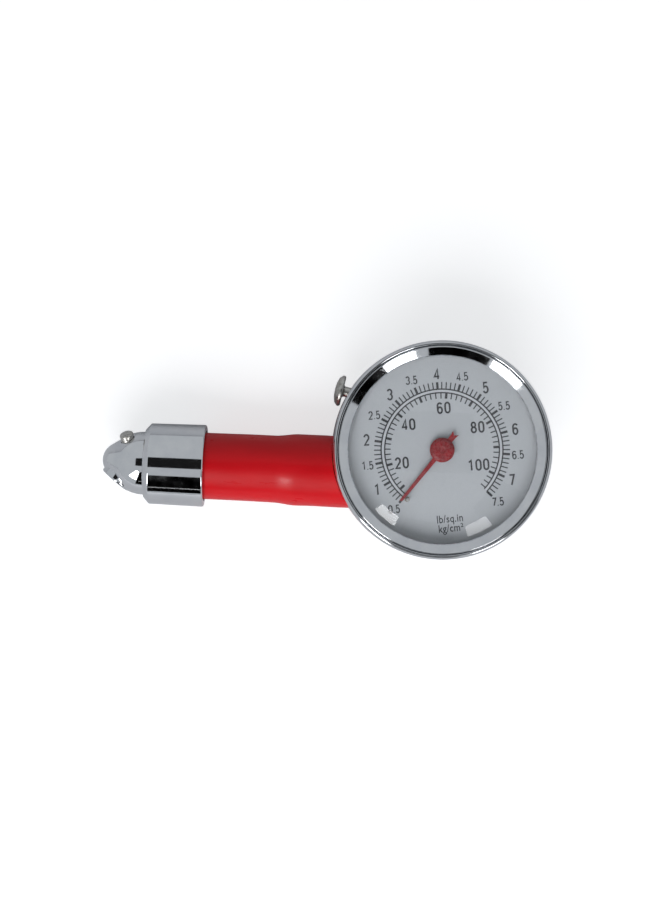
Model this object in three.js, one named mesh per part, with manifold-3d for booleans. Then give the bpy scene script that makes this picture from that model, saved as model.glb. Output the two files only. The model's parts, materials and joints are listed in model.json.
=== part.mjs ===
// Hand-held dial tyre pressure gauge, in millimetres, +Z along the dial's axis, out of the dial.
// The origin is the centre of the case's flat back. The handle runs to -X, with the chuck at its end.
import * as THREE from "three";
import { mergeVertices } from "three/addons/utils/BufferGeometryUtils.js";
import Module from "manifold-3d";

const wasm = await Module();
wasm.setup();

// ---- Driving dimensions ----

const ROUND = 32; // sides of a large turned piece
const MEDIUM = 16; // sides of a stem or a bush
const SMALL = 10; // sides of a pin or a screw
const GAP = 0.3; // between pieces that rest on each other
const RUNNING = 0.06; // radial clearance of a pivot

// Head, heights above the case's flat back
const CASE_R = 26;
const CASE_WALL = 0.9;
const CASE_TOP = 20.7;
const FLANGE_R = 27.3;
const FLANGE_LOW = 18.9;
const BEZEL_R = 28.15;
const BEZEL_LOW = 16.9;
const BEZEL_TOP = 26.5;
const WINDOW_R = 24; // bezel's inner edge
const CREST = 28.5; // top of the crystal's dome
const CRYSTAL_WALL = 1.6;
const CRYSTAL_RISE = 4.3; // of the dome, from the window's edge to the crest
const CRYSTAL_EYE = 22.4; // inside radius below the dome
const DIAL_LOW = 21;
const DIAL_TOP = 21.5;

// Pointer and scale
const POINTER_R = 16.9;
const POINTER_REST = THREE.MathUtils.degToRad(233.4);
const STOP_PIN_R = 15.3;
const STOP_PIN_ANGLE = THREE.MathUtils.degToRad(237.4);

// Handle: distances along it are counted from the dial's axis towards the chuck
const HANDLE_Y = -6.8;
const HANDLE_Z = 10.75;
const ADAPTER_R = 8.55;
const TUBE_R = 8;
const SLEEVE_WALL = 0.6;
const SLEEVE_END = 61.4;
const STEP_FROM = 37;
const STEP_TO = 43;

// Chuck
const COLLAR_FROM = 61;
const COLLAR_TO = 76.7;
const COLLAR_R = 10.7;
const THREAD_R = 8.9;
const NOSE_R = 8.2;
const DOME_FROM = 77;
const DOME_LENGTH = 8.9;
const SPOUT = new THREE.Vector3(0, 0.6, 83.2); // middle of the round end that carries the mouth
const SPOUT_R = 4.6;
const MOUTH = new THREE.Vector3(0, -4.9, 84.4); // centre of the mouth, in the handle's frame
const MOUTH_TILT = THREE.MathUtils.degToRad(51.8);
const MOUTH_BORE_R = 3.95; // passes the 7.7 mm thread of a standard tyre valve
const DEFLATOR_FROM = new THREE.Vector3(0, 0, 79.4);
const DEFLATOR_TIP = 9.3; // from there
const DEFLATOR_ALONG = new THREE.Vector3(0.469, 0.845, 0.256).normalize();

// Release button, pressed inwards along its own axis
const BUTTON_AT = new THREE.Vector3(-26.5, 14.35, 10.6);
const BUTTON_OUT = new THREE.Vector3(-0.981, 0.1925, 0).normalize();
const STEM_R = 1.35;
const BUTTON_HEAD = -0.6; // underside of its head, on its axis
const BLEED_BORE_R = 2;

// Socket block and Bourdon tube
const BLOCK_R = 24;
const BLOCK_FACE = -14.5;
const BLOCK_LOW = 1.2;
const BLOCK_TOP = 14.4;
const COIL_R = 19.5;
const COIL_Z = 4.9;
const COIL_FROM = THREE.MathUtils.degToRad(142);
const COIL_TO = THREE.MathUtils.degToRad(-118);

// Movement: a sector turns the pointer's pinion
const MODULE = 0.35;
const PINION_TEETH = 10;
const SECTOR_TEETH = 60; // of a full circle
const SECTOR_FIRST = -1;
const SECTOR_LAST = 9;
const PRESSURE_ANGLE = THREE.MathUtils.degToRad(25);
const ADDENDUM = 0.8 * MODULE;
const DEDENDUM = 1.1 * MODULE;
const BACKLASH = 0.1;
const CENTRE_DISTANCE = (MODULE * (PINION_TEETH + SECTOR_TEETH)) / 2;
const SECTOR_BEARING = THREE.MathUtils.degToRad(219);
const TAIL_R = 4.15; // sector's pivot to the link's pin
const TAIL_REST = THREE.MathUtils.degToRad(206.4);
const LUG_REST = new THREE.Vector2(-8.45, -13.92);
const LINK_EYE_R = 1.3;
const LUG_EYE_R = 1.8;
const OPEN_PIVOT = 0.36; // clearance of the link on the tube's lug, where the loop is left open
const PIVOT_R = 0.5;
const BACK_PLATE = [14.7, 15.3];
const LINK = [15.7, 16.1];
const SECTOR = [16.5, 17.1];
const HAIRSPRING = [17.6, 18.1];
const FRONT_PLATE = [18.6, 19.2];
const PILLARS = [[-12.5, 5.5], [4.6, -4.5], [-16, -2]];
const PLATE_SCREWS = [[-19, 1.5], [-17.5, 6.5]];
const CASE_SCREWS = [[-19, 2], [-19, -8.5]];
const STUD_R = 4.9;
const STUD_ANGLE = THREE.MathUtils.degToRad(200);

// ---- Finishes ----

const FINISHES = {
  chrome: { color: 0xc9ccd1, roughness: 0.08, metalness: 1 },
  nickel: { color: 0xa9a6a0, roughness: 0.28, metalness: 1 },
  case: { color: 0x8d9096, roughness: 0.35, metalness: 1 },
  brass: { color: 0xb08d4a, roughness: 0.35, metalness: 1 },
  steel: { color: 0x9a9da1, roughness: 0.3, metalness: 1 },
  dial: { color: 0xa2a7ad, roughness: 0.55, metalness: 0.2 },
  pointer: { color: 0xb3161c, roughness: 0.4, metalness: 0 },
  sleeve: { color: 0xc81a24, roughness: 0.3, metalness: 0 },
  crystal: { color: 0xf4f7f8, roughness: 0.03, metalness: 0, transparent: true, opacity: 0.3 },
  rubber: { color: 0x1c1c1e, roughness: 0.8, metalness: 0 },
};

// ---- Solids ----

function solidOf(geometry) {
  const bare = geometry.clone();
  bare.deleteAttribute("normal");
  bare.deleteAttribute("uv");
  const merged = mergeVertices(bare, 1e-4);
  const vertProperties = merged.attributes.position.array;
  const triVerts = new Uint32Array(merged.index.array);
  return new wasm.Manifold(new wasm.Mesh({ numProp: 3, vertProperties, triVerts }));
}

function geometryOf(solid) {
  const mesh = solid.getMesh();
  const geometry = new THREE.BufferGeometry();
  geometry.setAttribute("position", new THREE.BufferAttribute(mesh.vertProperties, 3));
  geometry.setIndex(new THREE.BufferAttribute(mesh.triVerts, 1));
  const faceted = geometry.toNonIndexed();
  faceted.computeVertexNormals();
  return faceted;
}

// Cuts each of the other geometries out of the first.
function cut(geometry, ...others) {
  return geometryOf(others.reduce((rest, other) => rest.subtract(solidOf(other)), solidOf(geometry)));
}

function join(geometry, ...others) {
  return geometryOf(others.reduce((sum, other) => sum.add(solidOf(other)), solidOf(geometry)));
}

function common(geometry, other) {
  return geometryOf(solidOf(geometry).intersect(solidOf(other)));
}

// A piece turned about Z from [radius, height] points that run counter-clockwise round its section.
function turned(points, sides = ROUND) {
  const section = points.map(([r, z]) => new THREE.Vector2(r, z));
  const touchesAxis = points[0][0] === 0 && points[points.length - 1][0] === 0;
  if (!touchesAxis) section.push(section[0].clone());
  return new THREE.LatheGeometry(section, sides).rotateX(Math.PI / 2);
}

function rod(radius, low, high, sides = MEDIUM) {
  return turned([[0, low], [radius, low], [radius, high], [0, high]], sides);
}

function tube(inner, outer, low, high, sides = ROUND) {
  return turned([[inner, low], [outer, low], [outer, high], [inner, high]], sides);
}

function slab(width, depth, low, high) {
  return new THREE.BoxGeometry(width, depth, high - low).translate(0, 0, (low + high) / 2);
}

// An outline of [x, y] points, extruded between two heights.
function plate(outline, [low, high]) {
  const shape = new THREE.Shape(outline.map(([x, y]) => new THREE.Vector2(x, y)));
  return new THREE.ExtrudeGeometry(shape, { depth: high - low, bevelEnabled: false }).translate(0, 0, low);
}

// Turns a geometry's +Z to a direction and moves it to a point.
function aimed(geometry, direction, at = new THREE.Vector3()) {
  const turn = new THREE.Quaternion().setFromUnitVectors(new THREE.Vector3(0, 0, 1), direction);
  return geometry.applyQuaternion(turn).translate(at.x, at.y, at.z);
}

function polar(radius, angle) {
  return [radius * Math.cos(angle), radius * Math.sin(angle)];
}

// An arc of [radius, height] points on a circle or an ellipse about a centre on the axis.
function arcPoints(radial, axial, centre, from, to, steps) {
  return Array.from({ length: steps + 1 }, (_, i) => {
    const angle = from + ((to - from) * i) / steps;
    return [radial * Math.cos(angle), centre + axial * Math.sin(angle)];
  });
}

// ---- Scene graph ----

const gauge = new THREE.Group();
const handle = new THREE.Group(); // +Z runs along the handle to the chuck, +X is up
handle.position.set(0, HANDLE_Y, HANDLE_Z);
handle.rotation.y = -Math.PI / 2;
const mouth = new THREE.Group(); // +Z points out of the mouth
mouth.position.copy(MOUTH);
mouth.rotation.x = MOUTH_TILT;
const button = new THREE.Group(); // +Z points out of the case
button.position.copy(BUTTON_AT);
button.quaternion.setFromUnitVectors(new THREE.Vector3(0, 0, 1), BUTTON_OUT);
handle.add(mouth);
gauge.add(handle, button);

function add(group, name, geometry, finish, x = 0, y = 0, z = 0) {
  const mesh = new THREE.Mesh(geometry, new THREE.MeshStandardMaterial(FINISHES[finish]));
  mesh.name = name;
  mesh.position.set(x, y, z);
  group.add(mesh);
  return mesh;
}

// A cutter along the handle's axis, in the gauge's own frame.
function alongHandle(radius, from, to, sides = MEDIUM) {
  const axis = new THREE.Vector3(-1, 0, 0);
  return aimed(rod(radius, from, to, sides), axis, new THREE.Vector3(0, HANDLE_Y, HANDLE_Z));
}

// A cutter along the button's axis, in the gauge's own frame; depths are counted inwards.
function alongButton(radius, from, to, sides = MEDIUM) {
  return aimed(rod(radius, -to, -from, sides), BUTTON_OUT, BUTTON_AT);
}

// ---- Head ----

function countersink() {
  return turned([[0, -1], [3.2, -1], [2.4, 0], [1.5, CASE_WALL], [1.5, 2], [0, 2]], SMALL);
}

function caseShell() {
  const inner = CASE_R - CASE_WALL;
  const shell = turned([
    [0, 0], [24, 0], [25.2, 0.4], [25.8, 1.1], [CASE_R, 2], [CASE_R, FLANGE_LOW],
    [FLANGE_R, FLANGE_LOW], [FLANGE_R, FLANGE_LOW + CASE_WALL], [CASE_R, FLANGE_LOW + CASE_WALL],
    [CASE_R, CASE_TOP], [inner, CASE_TOP], [inner, 2.2], [24.3, 1.1], [23.6, CASE_WALL], [0, CASE_WALL],
  ]);
  const holes = CASE_SCREWS.map(([x, y]) => countersink().translate(x, y, 0));
  return cut(shell, alongHandle(5, 20, 30), alongButton(BLEED_BORE_R + 0.2, 2, 8), ...holes);
}

function bezelRing() {
  return turned([
    [26.4, BEZEL_LOW + 0.2], [27.7, BEZEL_LOW], [BEZEL_R, BEZEL_LOW + 0.6], [BEZEL_R - 0.2, 23.4],
    [27.85, 25], [27.6, 26.1], [27.2, BEZEL_TOP], [26.85, BEZEL_TOP - 0.1],
    [26.6, BEZEL_TOP - 0.45], [26.35, BEZEL_TOP - 0.25], [WINDOW_R + 0.1, 25], [WINDOW_R - 0.1, 24.7],
    [WINDOW_R + 0.1, 24.45], [25.9, 25.1], [27.45, 25.1],
    [27.45, BEZEL_LOW + 0.9], [26.4, BEZEL_LOW + 0.9],
  ]);
}

function crystalLens() {
  const rim = FLANGE_R - 0.1;
  const ledge = WINDOW_R - GAP;
  const sphere = (ledge ** 2 + CRYSTAL_RISE ** 2) / (2 * CRYSTAL_RISE);
  const dome = (radius, crest, edge) => {
    const span = Math.asin(edge / radius);
    return arcPoints(radius, radius, crest - radius, Math.PI / 2 - span, Math.PI / 2, 5);
  };
  const outside = dome(sphere, CREST, ledge);
  const inside = dome(sphere - CRYSTAL_WALL, CREST - CRYSTAL_WALL, CRYSTAL_EYE).reverse();
  outside[5][0] = 0;
  inside[0][0] = 0;
  return turned([...inside, [CRYSTAL_EYE, 22.9], [rim, 22.9], [rim, 24.1], ...outside]);
}

function dialPlate() {
  const stopHole = rod(0.6, DIAL_LOW - 1, DIAL_TOP + 1, SMALL)
    .translate(...polar(STOP_PIN_R, STOP_PIN_ANGLE), 0);
  return cut(tube(1, 26.6, DIAL_LOW, DIAL_TOP), stopHole);
}

function pointerHand() {
  const hub = 3.15;
  const blade = plate([
    [-5.55, -0.9], [-2, -0.65], [2, -0.6], [POINTER_R - 0.1, -0.4], [POINTER_R - 0.55, 0.4],
    [2, 0.6], [-2, 0.65], [-5.55, 0.9], [-4.75, 0],
  ], [DIAL_TOP + 0.8, DIAL_TOP + 1.2]);
  return cut(join(blade, rod(hub, DIAL_TOP + 0.6, DIAL_TOP + 1.5)), rod(0.55, DIAL_TOP, DIAL_TOP + 3, SMALL));
}

function caseScrew() {
  return turned([[0, 0.1], [2.1, 0.1], [1.2, 1], [1.2, 5], [0, 5]], SMALL);
}

add(gauge, "case_shell", caseShell(), "case");
add(gauge, "bezel_ring", bezelRing(), "chrome");
add(gauge, "crystal_lens", crystalLens(), "crystal");
add(gauge, "crystal_gasket", tube(24.8, 27.2, DIAL_TOP + GAP, 22.6), "rubber");
add(gauge, "dial_plate", dialPlate(), "dial");
add(gauge, "stop_pin", rod(0.45, DIAL_LOW - 0.2, DIAL_TOP + 2, SMALL), "nickel",
  ...polar(STOP_PIN_R, STOP_PIN_ANGLE));
add(gauge, "pointer", pointerHand(), "pointer").rotation.z = POINTER_REST;
CASE_SCREWS.forEach(([x, y], i) => add(gauge, "case_screw_" + (i + 1), caseScrew(), "steel", x, y));

// ---- Socket block and Bourdon tube ----

// The tube's flattened section, as a ring about the dial's axis.
function coilRing(grow) {
  const [thin, tall] = [1.1 + grow, 3 + grow];
  const corner = 0.6;
  return turned([
    [COIL_R - thin + corner, -tall], [COIL_R + thin - corner, -tall], [COIL_R + thin, -tall + corner],
    [COIL_R + thin, tall - corner], [COIL_R + thin - corner, tall], [COIL_R - thin + corner, tall],
    [COIL_R - thin, tall - corner], [COIL_R - thin, -tall + corner],
  ].map(([r, z]) => [r, z + COIL_Z]), ROUND);
}

// The pie slice of the ring that the tube leaves free, on the side of the socket block.
function coilOpening() {
  const reach = 40;
  const [toEnd, toStart] = [COIL_TO, COIL_FROM - 2 * Math.PI];
  const slice = [[0, 0], polar(reach, toEnd), polar(reach, (toEnd + toStart) / 2), polar(reach, toStart)];
  return plate(slice, [-1, 20]);
}

function bourdonTube() {
  return cut(coilRing(0), coilRing(-0.35), coilOpening());
}

function socketBlock() {
  const width = -BLOCK_FACE + 12;
  const chunk = slab(width, 30.5, BLOCK_LOW, BLOCK_TOP).translate(BLOCK_FACE - width / 2, 3.25, 0);
  const body = common(rod(BLOCK_R, BLOCK_LOW, BLOCK_TOP, ROUND), chunk);
  const bossFrom = 8;
  const bossTo = 15.3;
  const boss = slab(5.2, 5.6, -bossTo, -bossFrom);
  const drill = 16; // distance of the cross passage from the dial's axis
  const drillY = new THREE.Vector3(0, 1, 0);
  const cross = aimed(rod(0.8, HANDLE_Y, 12, SMALL), drillY, new THREE.Vector3(-drill, 0, HANDLE_Z));
  const down = rod(0.7, COIL_Z, HANDLE_Z, SMALL).translate(-drill, 11.2, 0);
  const slot = slab(3.4, 7, COIL_Z - 3.3, COIL_Z + 3.3).rotateZ(COIL_FROM - 0.06)
    .translate(...polar(COIL_R, COIL_FROM - 0.06), 0);
  const threads = [...CASE_SCREWS.map(([x, y]) => rod(1.5, 0, 5.5, SMALL).translate(x, y, 0)),
    ...PLATE_SCREWS.map(([x, y]) => rod(1.1, 11.8, 20, SMALL).translate(x, y, 0))];
  const inlet = [alongHandle(2.8, 17, 40), alongHandle(3.9, 20.8, 40), alongHandle(1.2, drill - 0.5, 20)];
  return cut(join(body, aimed(boss, BUTTON_OUT, BUTTON_AT)), alongButton(BLEED_BORE_R, 0, 14.3),
    cross, down, slot, ...threads, ...inlet);
}

// The plug in the tube's free end, with an arm that carries the link's pin.
function bourdonTip() {
  const turn = COIL_TO - 0.1;
  const plug = slab(2.6, 3, COIL_Z - 3, COIL_Z + 3.4).rotateZ(turn).translate(...polar(COIL_R, turn), 0);
  const middle = new THREE.Vector2(...polar(COIL_R, turn));
  const reach = LUG_REST.clone().sub(middle);
  const arm = slab(reach.length(), 2, COIL_Z + 1.4, COIL_Z + 3.4).rotateZ(reach.angle())
    .translate((middle.x + LUG_REST.x) / 2, (middle.y + LUG_REST.y) / 2, 0);
  const post = turned([[0, COIL_Z + 1.4], [1.1, COIL_Z + 1.4], [1.1, LINK[0] - GAP], [PIVOT_R, LINK[0] - GAP],
    [PIVOT_R, LINK[1] + 0.1], [0, LINK[1] + 0.1]], SMALL).translate(LUG_REST.x, LUG_REST.y, 0);
  return join(plug, arm, post);
}

add(gauge, "socket_block", socketBlock(), "brass");
add(gauge, "bourdon_tube", bourdonTube(), "brass");
add(gauge, "bourdon_tip", bourdonTip(), "brass");

// ---- Movement ----

const SECTOR_PIVOT = polar(CENTRE_DISTANCE, SECTOR_BEARING);
const LINE_OF_CENTRES = SECTOR_BEARING + Math.PI; // from the sector's pivot to the pinion

const involute = (angle) => Math.tan(angle) - angle;

// One tooth's outline about its own middle angle, root to root, for a gear of this many teeth.
function toothPoints(teeth, middle) {
  const pitch = (MODULE * teeth) / 2;
  const base = pitch * Math.cos(PRESSURE_ANGLE);
  const root = pitch - DEDENDUM;
  const tip = pitch + ADDENDUM;
  const halfAt = (radius) => {
    const angle = Math.acos(Math.min(1, base / radius));
    return Math.PI / (2 * teeth) - BACKLASH / (2 * pitch) + involute(PRESSURE_ANGLE) - involute(angle);
  };
  const start = Math.max(base, root);
  const flank = [0, 1, 2, 3].map((i) => start + ((tip - start) * i) / 3);
  const radii = root < base ? [root, ...flank] : flank;
  const side = radii.map((r) => [r, halfAt(Math.max(r, base))]);
  const rising = side.map(([r, a]) => polar(r, middle - a));
  const falling = side.reverse().map(([r, a]) => polar(r, middle + a));
  return [...rising, ...falling];
}

function pinionArbor() {
  const step = (2 * Math.PI) / PINION_TEETH;
  const outline = Array.from({ length: PINION_TEETH }, (_, i) =>
    toothPoints(PINION_TEETH, SECTOR_BEARING + (i + 0.5) * step)).flat();
  const thin = PIVOT_R - 0.1;
  const arbor = turned([[0, BACK_PLATE[0] - 0.4], [PIVOT_R, BACK_PLATE[0] - 0.4], [PIVOT_R, SECTOR[1] + 0.5],
    [thin, SECTOR[1] + 0.5], [thin, DIAL_TOP + 1.65], [0, DIAL_TOP + 1.65]], SMALL);
  return join(plate(outline, [SECTOR[0] - 0.4, SECTOR[1] + 0.3]), arbor);
}

// The sector: a toothed arc on a tapering arm, and a short tail for the link, about its own pivot.
function sectorGear() {
  const step = (2 * Math.PI) / SECTOR_TEETH;
  const rim = (MODULE * SECTOR_TEETH) / 2 - DEDENDUM;
  const from = LINE_OF_CENTRES - (SECTOR_LAST + 0.5) * step;
  const to = LINE_OF_CENTRES - (SECTOR_FIRST - 0.5) * step;
  const teeth = [];
  for (let i = SECTOR_LAST; i >= SECTOR_FIRST; i--) {
    teeth.push(...toothPoints(SECTOR_TEETH, LINE_OF_CENTRES - i * step));
  }
  const inner = rim - 1.8;
  const inside = [0, 0.25, 0.5, 0.75, 1].map((t) => polar(inner, to + (from - to) * t));
  const arc = plate([polar(rim, from), ...teeth, polar(rim, to), ...inside], SECTOR);
  const spoke = (angle) => {
    const [length, width] = [inner + 0.5, 1.6];
    return slab(length, width, ...SECTOR).translate(length / 2, 0, 0).rotateZ(angle);
  };
  const tail = slab(TAIL_R, 1.8, ...SECTOR).translate(TAIL_R / 2, 0, 0).rotateZ(TAIL_REST);
  const eye = rod(1.2, ...SECTOR, SMALL).translate(...polar(TAIL_R, TAIL_REST), 0);
  const hub = rod(1.7, SECTOR[0] - 0.4, SECTOR[1] + 0.3, SMALL);
  const body = join(arc, spoke(from + 2 * step), spoke(to - 2 * step), hub, tail, eye);
  return cut(body, rod(0.8, 0, 30, SMALL), rod(0.65, 0, 30, SMALL).translate(...polar(TAIL_R, TAIL_REST), 0));
}

// The link, about the sector's pin, reaching to the lug on the tube's free end.
function linkBar(reach) {
  const length = reach.length();
  const bar = join(slab(length, 1.4, ...LINK).translate(length / 2, 0, 0), rod(LINK_EYE_R, ...LINK, SMALL),
    rod(LUG_EYE_R, ...LINK, SMALL).translate(length, 0, 0));
  const holes = [rod(PIVOT_R + RUNNING, 0, 30, SMALL),
    rod(PIVOT_R + OPEN_PIVOT, 0, 30, SMALL).translate(length, 0, 0)];
  return cut(bar, ...holes).rotateZ(reach.angle());
}

const PLATE_OUTLINE = [[-19, -2], [-17.8, -4.6], [-10.2, -10.8], [-7, -10.8], [5.2, -7], [7.2, -4.2], [3, 4],
  [-11, 8.2], [-14.6, 7.8], [-18.6, 0.6]];
const WIDE_OUTLINE = [[-21.4, -1], [-17.8, -4.6], [-10.2, -10.8], [-7, -10.8], [5.2, -7], [7.2, -4.2], [3, 4],
  [-11, 8.2], [-18.6, 9], [-21.4, 3.4]];

function movementPlate(outline, levels, arborHole, others) {
  const holes = [rod(arborHole, 0, 30, SMALL), rod(0.6 + RUNNING, 0, 30, SMALL).translate(...SECTOR_PIVOT, 0),
    ...PILLARS.map(([x, y]) => rod(0.8, 0, 30, SMALL).translate(x, y, 0)), ...others];
  return cut(plate(outline, levels), ...holes);
}

// A pillar with a spigot through the back plate and a threaded hole at the top.
function pillar() {
  const [low, high] = [BACK_PLATE[1] + GAP, FRONT_PLATE[0] - GAP];
  return turned([[0, BACK_PLATE[0] - 0.2], [0.6, BACK_PLATE[0] - 0.2], [0.6, low], [1.2, low], [1.2, high],
    [0.75, high], [0.75, high - 1.7], [0, high - 1.7]], SMALL);
}

function panScrew(headR, headLow, headHigh, shankR, shankLow) {
  const screw = turned([[0, shankLow], [shankR, shankLow], [shankR, headLow], [headR, headLow],
    [headR, headHigh - 0.2], [headR - 0.25, headHigh], [0, headHigh]], SMALL);
  return cut(screw, slab(2 * headR + 1, 0.4, headHigh - 0.35, headHigh + 1));
}

// A flat spiral that winds out from the pinion's arbor to the stud.
function hairspring() {
  const turns = 3;
  const steps = 14;
  const [from, to] = [1, STUD_R - 0.75];
  const side = (offset) => Array.from({ length: turns * steps + 1 }, (_, i) => {
    const share = i / (turns * steps);
    return polar(from + (to - from) * share + offset, STUD_ANGLE - (1 - share) * turns * 2 * Math.PI);
  });
  return plate([...side(0.08), ...side(-0.08).reverse()], HAIRSPRING);
}

const TAIL = polar(TAIL_R, TAIL_REST).map((v, i) => v + SECTOR_PIVOT[i]);
const LINK_REACH = LUG_REST.clone().sub(new THREE.Vector2(...TAIL));
const STUD = polar(STUD_R, STUD_ANGLE);

add(gauge, "movement_back_plate", movementPlate(WIDE_OUTLINE, BACK_PLATE, PIVOT_R + RUNNING,
  PLATE_SCREWS.map(([x, y]) => rod(1.1, 0, 30, SMALL).translate(x, y, 0))), "brass");
add(gauge, "movement_front_plate", movementPlate(PLATE_OUTLINE, FRONT_PLATE, PIVOT_R - 0.1 + RUNNING,
  [rod(0.65, 0, 30, SMALL).translate(...STUD, 0)]), "brass");
PILLARS.forEach(([x, y], i) => {
  add(gauge, "pillar_" + (i + 1), pillar(), "brass", x, y);
  add(gauge, "front_screw_" + (i + 1), panScrew(1.4, FRONT_PLATE[1] + GAP, 20.3, 0.6, 17), "steel", x, y);
});
PLATE_SCREWS.forEach(([x, y], i) =>
  add(gauge, "plate_screw_" + (i + 1), panScrew(1.6, BACK_PLATE[1] + GAP, 16.6, 0.85, 12.1), "steel", x, y));
add(gauge, "pinion_arbor", pinionArbor(), "steel");
add(gauge, "hairspring", hairspring(), "steel");
add(gauge, "hairspring_stud", rod(0.5, HAIRSPRING[0], FRONT_PLATE[1] + 0.2, SMALL), "brass", ...STUD);
add(gauge, "sector_gear", sectorGear(), "brass", ...SECTOR_PIVOT);
add(gauge, "sector_arbor", rod(0.6, BACK_PLATE[0] - 0.3, FRONT_PLATE[1] + 0.3, SMALL), "steel",
  ...SECTOR_PIVOT);
add(gauge, "link_bar", linkBar(LINK_REACH), "brass", ...TAIL);
add(gauge, "link_pin", turned([[0, LINK[0] - 0.2], [PIVOT_R, LINK[0] - 0.2], [PIVOT_R, SECTOR[1] + GAP],
  [0.9, SECTOR[1] + GAP], [0.9, SECTOR[1] + 0.7], [0, SECTOR[1] + 0.7]], SMALL), "steel", ...TAIL);

// ---- Inlet and handle ----

function inletStem() {
  return turned([[1.2, 17.3], [2.6, 17.3], [2.6, 21.1], [3.6, 21.1], [3.6, 27.6], [5, 27.6], [5, 38],
    [1.2, 38]], MEDIUM);
}

function headAdapter() {
  return turned([[5.3, 29], [ADAPTER_R, 29], [ADAPTER_R, STEP_FROM], [TUBE_R + 0.1, 39.7], [6, 39.7], [6, 46],
    [1.6, 46], [1.6, 38.3], [5.3, 38.3]]);
}

function handleTube() {
  return turned([[6.3, 40], [TUBE_R, 40], [TUBE_R, 61.7], [THREAD_R, 61.7], [THREAD_R, 70.6], [5.2, 70.6],
    [5.2, 66.3], [3.2, 66.3], [3.2, 55], [1.6, 55], [1.6, 46.5], [6.3, 46.5]]);
}

// The sleeve swells over the adapter, and its end is notched to fit the case wall and the bezel.
function handleSleeve() {
  const fit = 0.2;
  const [thin, thick] = [TUBE_R + fit, ADAPTER_R + fit];
  const body = turned([[thick, 18], [thick + SLEEVE_WALL, 18], [thick + SLEEVE_WALL, STEP_FROM],
    [thick + SLEEVE_WALL - 0.1, 39], [thin + SLEEVE_WALL + 0.1, STEP_TO - 2], [thin + SLEEVE_WALL, STEP_TO],
    [thin + SLEEVE_WALL, SLEEVE_END], [thin, SLEEVE_END], [thin, STEP_TO - 0.6], [thick, STEP_FROM + 0.4]]);
  const toHandle = (geometry) => geometry.translate(0, -HANDLE_Y, -HANDLE_Z).rotateY(Math.PI / 2);
  const caseWall = toHandle(rod(CASE_R + GAP, -5, 40, ROUND));
  const bezelSkirt = toHandle(rod(BEZEL_R + GAP, BEZEL_LOW - GAP, 40, ROUND));
  return cut(body, caseWall, bezelSkirt);
}

function checkSeat() {
  return turned([[1.3, 67.6], [1.9, 66.6], [4.95, 66.6], [4.95, 70.3], [1.3, 70.3]], MEDIUM);
}

function ball(radius) {
  const points = arcPoints(radius, radius, 0, -Math.PI / 2, Math.PI / 2, 8);
  points[0][0] = 0;
  points[8][0] = 0;
  return turned(points, SMALL);
}

// A round wire wound into a compression spring along Z.
class Helix extends THREE.Curve {
  constructor(radius, low, high, turns) {
    super();
    Object.assign(this, { radius, low, high, turns });
  }
  getPoint(t, target = new THREE.Vector3()) {
    const angle = t * this.turns * 2 * Math.PI;
    return target.set(this.radius * Math.cos(angle), this.radius * Math.sin(angle),
      this.low + (this.high - this.low) * t);
  }
}

function coilSpring(radius, wire, low, high, turns) {
  const section = new THREE.Shape(Array.from({ length: 4 }, (_, i) =>
    new THREE.Vector2(...polar(wire, (i * Math.PI) / 2))));
  const extrudePath = new Helix(radius, low + wire, high - wire, turns);
  return new THREE.ExtrudeGeometry(section, { extrudePath, steps: turns * 10 });
}

add(gauge, "case_grommet", aimed(tube(3.75, 4.7, 24.2, 27.2, MEDIUM), new THREE.Vector3(-1, 0, 0)), "rubber",
  0, HANDLE_Y, HANDLE_Z);
add(handle, "inlet_stem", inletStem(), "brass");
add(handle, "head_adapter", headAdapter(), "brass");
add(handle, "handle_tube", handleTube(), "brass");
add(handle, "handle_sleeve", handleSleeve(), "sleeve");
add(handle, "check_valve_seat", checkSeat(), "brass");
add(handle, "check_ball", ball(2.2), "steel", 0, 0, 65.4);
add(handle, "check_spring", coilSpring(1.8, 0.28, 55.3, 63.9, 5), "steel");

// ---- Chuck ----

function chuckCollar() {
  return turned([[9.2, COLLAR_FROM], [COLLAR_R - 0.4, COLLAR_FROM], [COLLAR_R, COLLAR_FROM + 0.4],
    [COLLAR_R - 0.2, 75.1], [COLLAR_R - 0.5, 75.5], [NOSE_R + 0.7, COLLAR_TO], [NOSE_R + 0.3, COLLAR_TO],
    [NOSE_R + 0.3, 74.6], [9.2, 74.3]]);
}

function chuckHead() {
  const dome = arcPoints(NOSE_R, DOME_LENGTH, DOME_FROM, 0, Math.PI / 2, 9);
  dome[9][0] = 0;
  const body = turned([[0, 71.9], [THREAD_R, 71.9], [THREAD_R, 74], [NOSE_R, 74], ...dome]);
  const alongMouth = (geometry) => geometry.rotateX(MOUTH_TILT).translate(...MOUTH);
  const rim = alongMouth(turned([[0, -7], [4.6, -7], [4.6, -0.45], [4.15, 0], [0, 0]]));
  const beyond = alongMouth(rod(9, 0, 9));
  const spout = new THREE.SphereGeometry(SPOUT_R, 16, 10).translate(...SPOUT);
  const bore = alongMouth(turned([[0, -9.6], [2.2, -9.6], [2.2, -6.6], [MOUTH_BORE_R, -6.6],
    [MOUTH_BORE_R, 1], [0, 1]]));
  const pocket = aimed(rod(2.1, 5.3, 12, SMALL), DEFLATOR_ALONG, DEFLATOR_FROM);
  return cut(join(cut(body, beyond), rim, spout), bore, rod(2, 71, 79.5), pocket);
}

function deflatorPin() {
  return turned([[0, 5.6], [1.8, 5.6], [1.8, DEFLATOR_TIP - 1.15], [1.6, DEFLATOR_TIP - 0.5],
    [1.1, DEFLATOR_TIP - 0.15], [0, DEFLATOR_TIP]], SMALL);
}

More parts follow.
